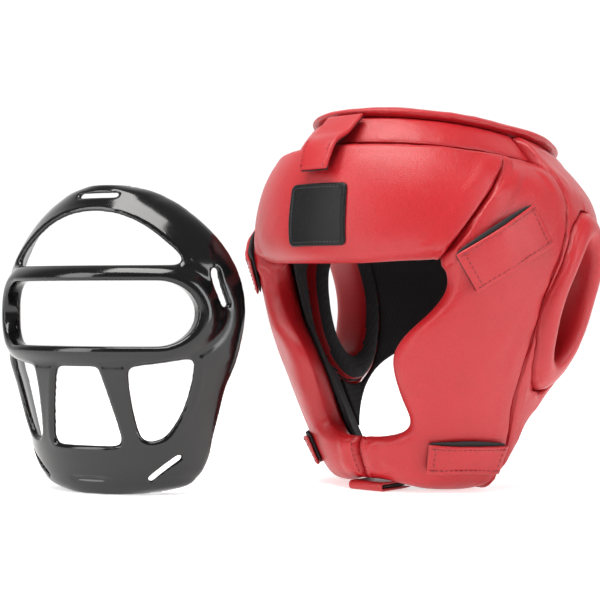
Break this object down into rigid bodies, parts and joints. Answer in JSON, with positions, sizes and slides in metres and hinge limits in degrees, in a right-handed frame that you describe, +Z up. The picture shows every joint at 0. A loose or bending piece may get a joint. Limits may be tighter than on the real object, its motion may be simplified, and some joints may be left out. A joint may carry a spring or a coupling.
{
  "type": "boxing headgear with face grill",
  "caption": "Padded full-face boxing head guard in red leather with straps and ear rings, beside its removable curved black plastic face grill",
  "frame": {"origin": "middle of the outline of the standing set, on the floor", "axes": "+Z up, the wearer faces -Y, the wearer's left is +X"},
  "size_m": [0.342, 0.3552, 0.25],
  "materials": {
    "red_leather": "fine grained satin red leather",
    "black_fabric": "matte black knitted lining",
    "black_patch": "bare textured black patch",
    "black_plastic": "glossy moulded black plastic"
  },
  "bodies": {
    "root": {"back_panel": "red_leather", "chin_strap": "red_leather", "crown_band": "red_leather", "ear_ring_left": "red_leather", "ear_ring_right": "red_leather", "face_grill": "black_plastic", "forehead_pad": "red_leather", "jaw_strap_left": "red_leather", "jaw_strap_right": "red_leather", "label_patch": "black_patch", "lining_back": "black_fabric", "lining_front": "black_fabric", "lining_left": "black_fabric", "lining_right": "black_fabric", "side_panel_left": "red_leather", "side_panel_right": "red_leather", "temple_strap_left": "red_leather", "temple_strap_right": "red_leather", "top_cover": "red_leather", "top_strap": "red_leather"}
  },
  "joints": []
}
